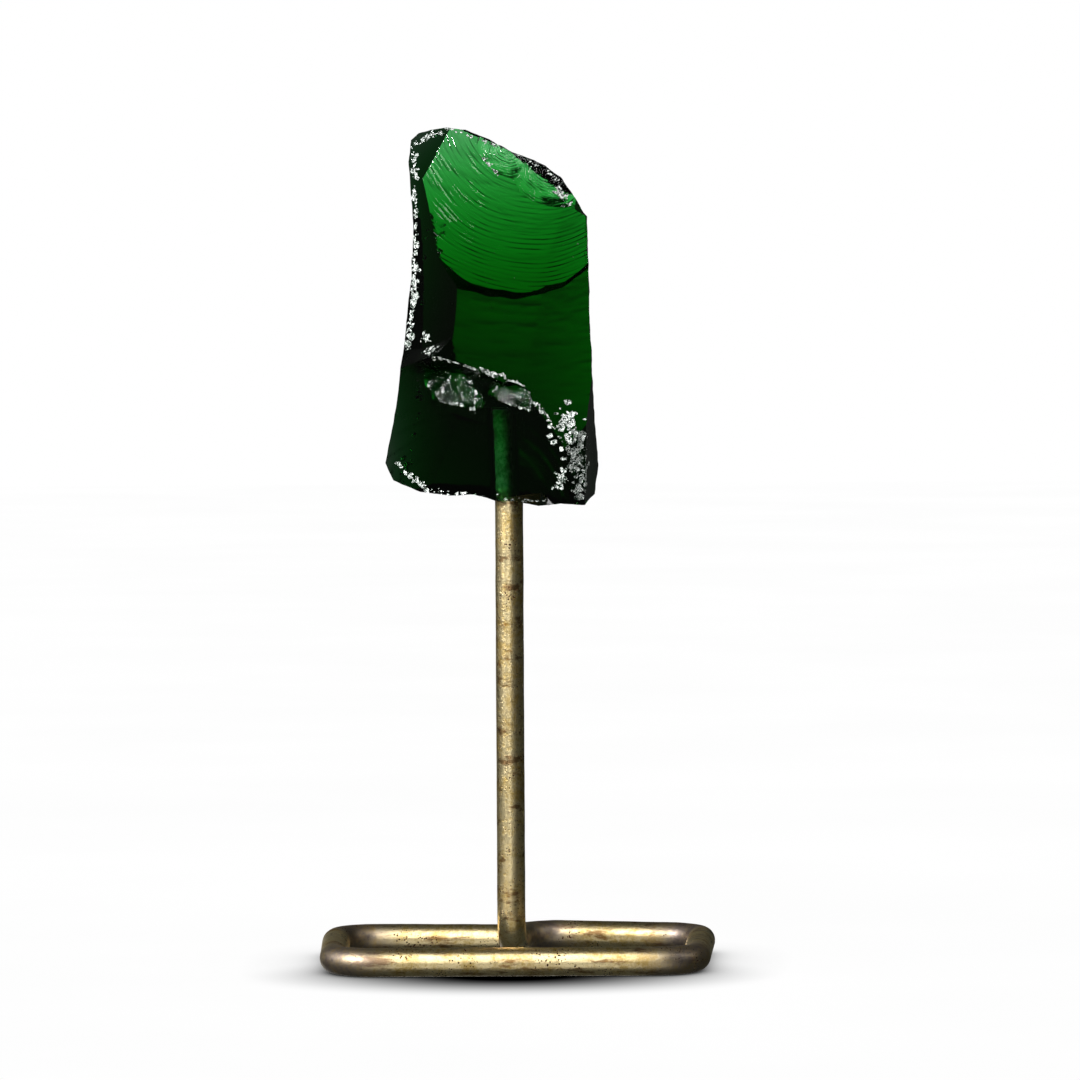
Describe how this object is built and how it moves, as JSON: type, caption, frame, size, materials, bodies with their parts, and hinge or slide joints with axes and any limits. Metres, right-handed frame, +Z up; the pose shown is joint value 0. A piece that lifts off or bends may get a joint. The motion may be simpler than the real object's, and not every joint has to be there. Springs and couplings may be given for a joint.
{
  "type": "obsidian specimen on wire stand",
  "caption": "Rough chunk of translucent green obsidian with rippled fracture scars, held upright on a bent brass wire whose looped foot stands on a table.",
  "frame": {"origin": "the middle of the base box, at the level of the table that the wire loop stands on", "axes": "+Z up along the upright wire, +X to the right and +Y away from a viewer who faces the rippled front scar"},
  "size_m": [0.0594, 0.0408, 0.125],
  "materials": {
    "green_glass": "natural fracture, glossy with fine ripples and crumbled white edges",
    "antique_brass": "antique, worn bright on top and tarnished at the bends"
  },
  "bodies": {
    "root": {"stone": "green_glass", "wire_stand": "antique_brass"}
  },
  "joints": []
}
